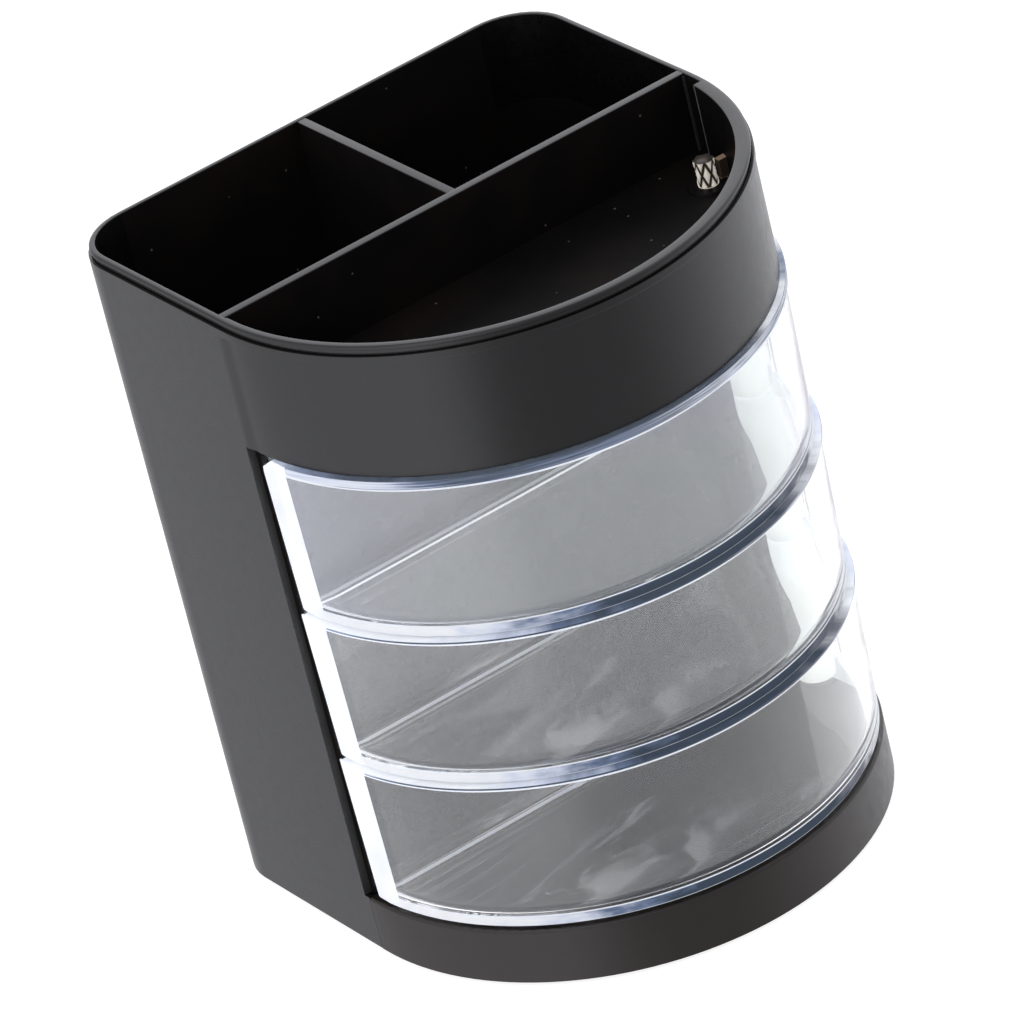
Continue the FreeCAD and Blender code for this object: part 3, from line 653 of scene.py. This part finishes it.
def paint_tray(tray, floor_top):
    """Gives each face of the tray the number of its material."""
    side, front = RADIUS - WALL, CENTRE_Y + BULKHEAD_FRONT
    outer = RADIUS - SKIRT_INSET - HAIR
    edge_y = CENTRE_Y - FRONT_RIM_START - STEP_HIGHLIGHT_EDGE / 2
    for polygon in tray.data.polygons:
        x, y, z = polygon.center
        normal = polygon.normal
        from_pivot = x - PIVOT.x
        slot = TRAY_INSIDE if z < TOP - 0.3 * MM else RIM
        if math.hypot(x, y - CENTRE_Y) > outer or y > CENTRE_Y + REAR - SKIRT_INSET - HAIR:
            slot = RIM
        # The face at the step's edge is painted light grey: a painted highlight on its rounding.
        at_step = abs(y - edge_y) < STEP_HIGHLIGHT_EDGE / 2 and 0 < x < side
        if at_step and normal.x < -0.3 and abs(normal.z) < 0.3:
            slot = STEP_CORNER
        # The strip in that corner is painted dim grey: a painted highlight.
        in_corner = side - 0.5 * MM < x < side and front - 0.4 * MM < y < front - HAIR
        if in_corner and floor_top < z < TOP - 0.5 * MM:
            slot = WALL_CORNER
        # The buttress's top is painted a much lighter brown than its faces: a painted highlight on the top.
        if 2.5 * MM < from_pivot and abs(y - PIVOT.y) < MM and floor_top < z < floor_top + BUTTRESS + HAIR:
            slot = BUTTRESS_TOP if normal.z > 0.5 else BUTTRESS_FACE
        polygon.material_index = slot


def build_pin():
    """A long plain shank, and a head with a crossed knurl and a domed end."""
    bm = bmesh.new()
    head_foot = SEAT + TRAY_FLOOR + 0.5 * MM
    shank, head = 2.0 * MM, PIN_HEAD
    around, starts, pitch, depth = 144, 6, 2.6 * MM, 0.40 * MM
    rings = []

    def ring(radius_at, z):
        points = []
        for i in range(around):
            a = math.tau * i / around
            radius = radius_at(i / around, z)
            points.append((PIVOT.x + radius * math.cos(a), PIVOT.y + radius * math.sin(a), z))
        rings.append(points)

    def knurled(turn, z):
        """Pyramids left between two crossed families of helical grooves."""
        heights = []
        for lean in (1, -1):
            phase = (starts * turn + lean * (z - head_foot) / pitch / 2) % 1.0
            heights.append(1.0 - abs(2.0 * phase - 1.0))
        return head - depth * (1.0 - min(1.0, 1.5 * min(heights)))

    ring(lambda turn, z: shank - 0.4 * MM, pin_low.z)
    ring(lambda turn, z: shank, pin_low.z + 0.4 * MM)
    ring(lambda turn, z: shank, head_foot)
    ring(lambda turn, z: head - depth, head_foot + HAIR)
    knurl_top = pin_high.z - KNURL_END
    rows = 44
    for i in range(rows + 1):
        ring(knurled, head_foot + 0.15 * MM + (knurl_top - head_foot - 0.15 * MM) * i / rows)
    dome = pin_high.z - knurl_top
    for i in range(1, 9):
        a = math.radians(90.0 * i / 9)
        ring(lambda turn, z, a=a: (head - depth) * math.cos(a) ** 0.7, knurl_top + dome * math.sin(a))
    add_loft(bm, rings)
    return new_object("pivot_pin_knurled", bm, 50.0)


# ---------------------------------------------------------------- drawers

def build_drawer(node, name):
    """A clear D-shaped tub: rounded foot, plain wall, lip round the bowed front, hub and web for the pin."""
    low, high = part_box(node)
    bottom = low.z
    rim = high.z - 0.3 * MM
    lip_height = (2.2 if node == "drawer_top" else 0.9) * MM
    end_slope_height = lip_height + 1.6 * MM if node == "drawer_top" else 1.4 * MM
    foot = 0.5 * MM
    floor = bottom + DRAWER_FLOOR
    rings = []

    def ring(bow, inset, z, forward=0.0):
        """One level of the tub. Near the rim, the left end of the back slopes forward."""
        taper = DRAWER_DRAFT * (rim - z)
        slope = max(0.0, z - rim + end_slope_height) * END_SLOPE
        plan = []
        for x, y in drawer_plan(bow, inset + taper, forward):
            at_end = x < inset + taper + END_SLOPE_WIDTH - DRAWER_HALF
            plan.append((x, min(y, CENTRE_Y + DRAWER_BACK - slope) if at_end else y))
        rings.append(at_height(plan, z))

    for i in range(5):
        a = math.radians(90.0 * i / 4)
        ring(DRAWER_RADIUS, foot * (1 - math.sin(a)), bottom + foot * (1 - math.cos(a)))
    lip_foot = rim - lip_height
    for z in (floor + 0.1 * MM, floor + 0.1 * MM + LINE, lip_foot - 1.6 * MM, lip_foot - 0.25 * MM):
        ring(DRAWER_RADIUS, 0.0, z)
    ring(DRAWER_RADIUS + LIP * 0.3, 0.0, lip_foot)
    ring(DRAWER_RADIUS + LIP, 0.0, lip_foot + 0.2 * MM)
    ring(DRAWER_RADIUS + LIP, 0.0, lip_foot + 0.2 * MM + LINE)
    ring(DRAWER_RADIUS + LIP, 0.0, rim - 0.25 * MM)
    ring(DRAWER_RADIUS + LIP, 0.08 * MM, rim - 0.08 * MM)
    ring(DRAWER_RADIUS + LIP, 0.25 * MM, rim)
    ring(DRAWER_RADIUS, DRAWER_WALL - 0.2 * MM, rim)
    ring(DRAWER_RADIUS, DRAWER_WALL, rim - 0.2 * MM)
    inner_foot = 0.5 * MM
    for angle in (0, 15, 30, 45, 60, 71, 80, 90):
        a = math.radians(angle)
        ring(DRAWER_RADIUS, DRAWER_WALL + inner_foot * (1 - math.cos(a)), floor + SCOOP * (1 - math.sin(a)),
             (SCOOP - inner_foot) * (1 - math.cos(a)))
    bm = bmesh.new()
    add_loft(bm, rings)
    tub = new_object(name, bm)

    bm = bmesh.new()
    add_lathe(bm, PIVOT, [(HUB_RADIUS, bottom + 0.1 * MM), (HUB_RADIUS, high.z - 0.3 * MM),
                          (HUB_RADIUS - 0.3 * MM, high.z)], 64)
    boolean(tub, new_object("hub", bm), "UNION")
    bm = bmesh.new()
    add_slab(bm, PIVOT.x, DRAWER_HALF - DRAWER_WALL / 2, PIVOT.y - WEB / 2, PIVOT.y + WEB / 2,
             floor - 0.5 * MM, lip_foot)
    boolean(tub, new_object("web", bm), "UNION")
    bm = bmesh.new()
    add_lathe(bm, PIVOT, [(BORE_RADIUS, bottom - MM), (BORE_RADIUS, high.z + MM)], 64)
    boolean(tub, new_object("bore", bm), "DIFFERENCE")
    for polygon in tub.data.polygons:
        polygon.use_smooth = True
    tub.data.set_sharp_from_angle(angle=math.radians(30.0))
    tub.data.materials.clear()
    paint_drawer(tub, bottom, floor, rim, lip_foot)
    return tub


WALLS, FLOOR_EDGE, LIP_EDGE, LIP_TOP, SIDE_FACE, RIM_LINE, FLOOR_LINE, HUB = range(8)


def paint_drawer(tub, bottom, floor, rim, lip_foot):
    """Gives each face of a drawer the number of its material."""
    for polygon in tub.data.polygons:
        x, y, z = polygon.center
        normal = polygon.normal
        outward = normal.x * x + normal.y * (y - CENTRE_Y) > 0.3 * math.hypot(x, y - CENTRE_Y)
        ahead = CENTRE_Y - y
        from_side = DRAWER_HALF - DRAWER_DRAFT * (rim - z) - abs(x)
        on_bow = outward and ahead > 3 * MM and from_side > 0.1 * MM
        # Every slot but the plain walls holds painted light: painted highlights, painted shade and glow.
        slot = WALLS
        if math.hypot(x - PIVOT.x, y - PIVOT.y) < HUB_RADIUS + 0.05 * MM:
            slot = HUB
        elif x < 0 and normal.x < -0.4 and from_side < 0.6 * MM and ahead < 8 * MM:
            slot = SIDE_FACE
        elif on_bow and bottom + 0.25 * MM < z < floor + 0.1 * MM:
            slot = FLOOR_EDGE
        elif on_bow and z < floor + 0.1 * MM + LINE:
            slot = RIM_LINE
        elif on_bow and lip_foot - 0.3 * MM < z < lip_foot + 0.2 * MM + LINE:
            slot = RIM_LINE
        elif z > rim - 0.1 * MM and ahead > 3 * MM:
            slot = LIP_TOP
        elif z > lip_foot and on_bow:
            slot = LIP_EDGE
        elif abs(z - floor) < 0.05 * MM and normal.z > 0.8 and normal.y < -0.02:
            slot = FLOOR_LINE
        polygon.material_index = slot


# ---------------------------------------------------------------- assembly

def place(thing, materials, body, slot, *nodes):
    """Dresses a piece and puts it on its body in place of the CAD nodes it stands for."""
    for material in materials:
        thing.data.materials.append(material)
    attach(thing, body)
    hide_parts(*nodes)


casing_black = black_plastic("casing_black", grey(0.0016), (0.0022, 0.0022, 0.0026), 0.25, 0.31)
inside_black = black_plastic("inside_black", (0.0036, 0.0036, 0.0040), (0.0075, 0.0058, 0.0048), 0.40, 0.50,
                             (0.11, 0.085, 0.07), 1.12)
# dark grey on the side walls' front end faces: a painted reflection
wall_end_painted_reflection = black_plastic("wall_end_painted_reflection", grey(0.022), grey(0.030), 0.35, 0.45)
base_black = black_plastic("base_black", (0.010, 0.0068, 0.0060), (0.014, 0.0098, 0.0088), 0.30, 0.38,
                           ior=1.43)
# light grey on the face at the rim's step: a painted highlight
step_edge_highlight = black_plastic("step_edge_painted_highlight", grey(0.09), grey(0.14), 0.40, 0.50)
# dim grey on the strip in the tray's inner corner: a painted highlight
inner_corner_highlight = black_plastic("wall_corner_painted_highlight", grey(0.02), grey(0.04), 0.40, 0.50)
buttress_brown = black_plastic("buttress_brown", (0.042, 0.028, 0.020), (0.060, 0.038, 0.028), 0.35, 0.45)
# the buttress's top in a much lighter brown than its faces: a painted highlight
buttress_top_painted_highlight = black_plastic("buttress_top_painted_highlight", (0.30, 0.20, 0.13), (0.40, 0.28, 0.19), 0.35, 0.45)
steel = knurled_steel("pin_steel")
screw_steel = plated_steel("screw_steel")
foot_rubber = rubber("foot_rubber")

# The drawers' edge colours are painted light: streaks of painted highlight and shade round the bowed front,
# bright lines and faces, and a painted glow.
WHITE = (0.95, 0.97, 1.0)
PALE = (0.72, 0.77, 0.90)
BLUE = (0.16, 0.21, 0.33)
NAVY = (0.055, 0.075, 0.11)
SMOKE = (0.22, 0.23, 0.27)
FLOOR_STOPS = [(0.0, WHITE), (0.20, WHITE), (0.27, PALE), (0.34, BLUE), (0.40, NAVY), (0.60, NAVY),
               (0.68, SMOKE), (0.76, WHITE), (0.86, PALE), (0.92, WHITE)]
LIP_STOPS = [(0.0, WHITE), (0.14, PALE), (0.22, BLUE), (0.32, NAVY), (0.42, BLUE), (0.52, SMOKE),
             (0.62, PALE), (0.70, NAVY), (0.76, WHITE), (0.84, BLUE), (0.90, WHITE)]
DARK_LIP_STOPS = [(0.0, PALE), (0.08, BLUE), (0.16, NAVY), (0.58, NAVY), (0.66, SMOKE), (0.74, WHITE),
                  (0.82, BLUE), (0.88, WHITE)]
floor_edge_painted_light = painted_bow_light("drawer_floor_edge", FLOOR_STOPS, 0.90, 30.0, 500.0, 0.20)
lip_edge_painted_light = painted_bow_light("drawer_lip_edge", LIP_STOPS, 0.85, 9.0, 3000.0, 0.55)
dark_lip_painted_light = painted_bow_light("drawer_dark_lip", DARK_LIP_STOPS, 0.85, 12.0, 2000.0, 0.35)
# the white side faces, rim lines and hub are painted highlights that also glow
side_face = painted_light_edge("drawer_side_face", WHITE, 0.92, 0.25)
rim_line = painted_light_edge("drawer_rim_line", (0.90, 0.93, 0.99), 0.85, 0.20)
hub_face = painted_light_edge("drawer_hub", (0.93, 0.97, 0.96), 0.75, 0.25)

place(build_shell(), [casing_black, inside_black, wall_end_painted_reflection], "casing", "black_plastic", "outer_shell")
place(build_tray(), [casing_black, inside_black, step_edge_highlight, buttress_brown, buttress_top_painted_highlight, inner_corner_highlight],
      "casing", "black_plastic", "top_tray")
place(build_pin(), [steel], "casing", "pin_steel", "pivot_pin")
# node, body, haze at the foot and at the rim (higher on the upper drawers as painted light), and how bright
# the painted line of light at the back of the floor is
DRAWERS = (("drawer_bottom", "lower_drawer", 0.010, 0.014, 0.05),
           ("drawer_middle", "middle_drawer", 0.016, 0.045, 0.12),
           ("drawer_top", "upper_drawer", 0.100, 0.130, 0.95))
for node, body, haze_low, haze_high, line in DRAWERS:
    low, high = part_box(node)
    walls = clear_plastic(node + "_clear", haze_low, haze_high, low.z, high.z)
    # the line at the back of each floor is painted white as a highlight, and glows
    floor_line = painted_light_edge(node + "_floor_line", WHITE, line, 0.8 * line)
    lip, lip_top = (lip_edge_painted_light, dark_lip_painted_light) if node == "drawer_top" else (dark_lip_painted_light, floor_edge_painted_light)
    materials = [walls, floor_edge_painted_light, lip, lip_top, side_face, rim_line, floor_line, hub_face]
    place(build_drawer(node, node + "_tub"), materials, body, "clear_plastic", node)

for node, material in (("base", base_black), ("base_screws", screw_steel), ("rubber_feet", foot_rubber)):
    thing = frame["nodes"][node]
    thing.data.materials.clear()
    thing.data.materials.append(material)


# ---------------------------------------------------------------- stage, light and camera

def build_stage():
    """A pale floor that glows, to stay white close to the object, and glows more through clear plastic."""
    mesh = bpy.data.meshes.new("floor")
    half = 3.0
    corners = [(-half, -half, 0), (half, -half, 0), (half, half, 0), (-half, half, 0)]
    mesh.from_pydata(corners, [], [(0, 1, 2, 3)])
    floor = bpy.data.objects.new("floor", mesh)
    bpy.context.scene.collection.objects.link(floor)
    material, nodes, links, shader = principled("floor_white")
    shader.inputs["Base Color"].default_value = (0.3, 0.3, 0.3, 1.0)
    shader.inputs["Roughness"].default_value = 0.9
    shader.inputs["Emission Color"].default_value = (1.0, 1.0, 1.0, 1.0)
    path = nodes.new("ShaderNodeLightPath")
    through = math_node(nodes, links, "MULTIPLY", path.outputs["Is Transmission Ray"], 0.55)
    links.new(math_node(nodes, links, "ADD", through, 0.85), shader.inputs["Emission Strength"])
    floor.data.materials.append(material)
    floor.visible_glossy = False


STUDIO = 0.6    # scales the studio's colours into the ramp's range
STUDIO_TINT = (0.985, 0.99, 1.03)
# how bright the studio is at each compass angle, in degrees from the front (-Y) towards the right
STUDIO_LEVELS = ((-180, 0.80), (-140, 0.82), (-110, 1.25), (-62, 1.66), (-48, 1.40), (-34, 0.66), (-10, 0.56),
                 (22, 0.58), (45, 0.92), (75, 1.38), (130, 1.05), (180, 0.80))


def area_light(name, position, target, size, power):
    data = bpy.data.lights.new(name, "AREA")
    data.shape = "RECTANGLE"
    data.size, data.size_y = size
    data.energy = power
    light = bpy.data.objects.new(name, data)
    light.location = position
    light.rotation_euler = (Vector(target) - Vector(position)).to_track_quat("-Z", "Y").to_euler()
    bpy.context.scene.collection.objects.link(light)


def build_light():
    """A white studio, dimmer in front of the object and brighter above its back, and a weak soft box."""
    world = bpy.data.worlds.new("studio")
    bpy.context.scene.world = world
    world.use_nodes = True
    nodes, links = world.node_tree.nodes, world.node_tree.links
    where = nodes.new("ShaderNodeTexCoord")
    split = nodes.new("ShaderNodeSeparateXYZ")
    links.new(where.outputs["Generated"], split.inputs[0])
    toward_front = math_node(nodes, links, "MULTIPLY", split.outputs[1], -1.0)
    angle = math_node(nodes, links, "ARCTAN2", split.outputs[0], toward_front)
    turn = math_node(nodes, links, "ADD", math_node(nodes, links, "DIVIDE", angle, math.tau), 0.5)
    stops = [(at / 360 + 0.5, [STUDIO * level * tint for tint in STUDIO_TINT]) for at, level in STUDIO_LEVELS]
    tone = color_stops(nodes, links, turn, stops)
    back_light = Vector((0.42, 0.76, 0.49)).normalized()
    aim = nodes.new("ShaderNodeVectorMath")
    aim.operation = "DOT_PRODUCT"
    links.new(where.outputs["Generated"], aim.inputs[0])
    aim.inputs[1].default_value = back_light
    lobe = map_range(nodes, links, aim.outputs["Value"], 0.70, 0.96, 1.0 / STUDIO, 1.72 / STUDIO, smooth=True)
    background = nodes["Background"]
    links.new(tone, background.inputs["Color"])
    links.new(lobe, background.inputs["Strength"])
    path = nodes.new("ShaderNodeLightPath")
    plain = nodes.new("ShaderNodeBackground")
    plain.inputs["Color"].default_value = (1.0, 1.0, 1.0, 1.0)
    plain.inputs["Strength"].default_value = 1.1
    mix = nodes.new("ShaderNodeMixShader")
    links.new(path.outputs["Is Camera Ray"], mix.inputs["Fac"])
    links.new(background.outputs["Background"], mix.inputs[1])
    links.new(plain.outputs["Background"], mix.inputs[2])
    links.new(mix.outputs["Shader"], nodes["World Output"].inputs["Surface"])
    area_light("key", (-0.5, -0.5, 0.7), (0, 0, 0.07), (0.6, 0.6), 0.6)


def build_camera():
    """A long lens, looking down from the front left, rolled so that the object leans to the right."""
    azimuth, elevation, roll = math.radians(-28.90), math.radians(29.21), math.radians(-13.93)
    distance, side_shift, up_shift = 1.6294, 17.55 * MM, -58.04 * MM
    forward = Vector((-math.sin(azimuth) * math.cos(elevation), math.cos(azimuth) * math.cos(elevation),
                      -math.sin(elevation)))
    right = Vector((math.cos(azimuth), math.sin(azimuth), 0.0))
    up = right.cross(forward)
    level = Matrix((right, up, forward))
    turn = Matrix(((math.cos(roll), math.sin(roll), 0), (-math.sin(roll), math.cos(roll), 0), (0, 0, 1)))
    axes = turn @ level
    offset = Vector((side_shift, up_shift, distance))
    position = axes.transposed() @ (-offset) + Vector((0.0, 4.12 * MM, 0.8 * MM))
    data = bpy.data.cameras.new("camera")
    data.lens = 296.5
    data.sensor_width = 36.0
    data.clip_start = 0.1
    data.clip_end = 20.0
    camera = bpy.data.objects.new("camera", data)
    rotation = Matrix((axes[0], axes[1], -axes[2])).transposed()
    camera.matrix_world = Matrix.Translation(position) @ rotation.to_4x4()
    bpy.context.scene.collection.objects.link(camera)
    bpy.context.scene.camera = camera


build_stage()
build_light()
build_camera()
scene = bpy.context.scene
scene.view_settings.view_transform = "Standard"
scene.cycles.max_bounces = 32
scene.cycles.glossy_bounces = 16
scene.cycles.transmission_bounces = 24
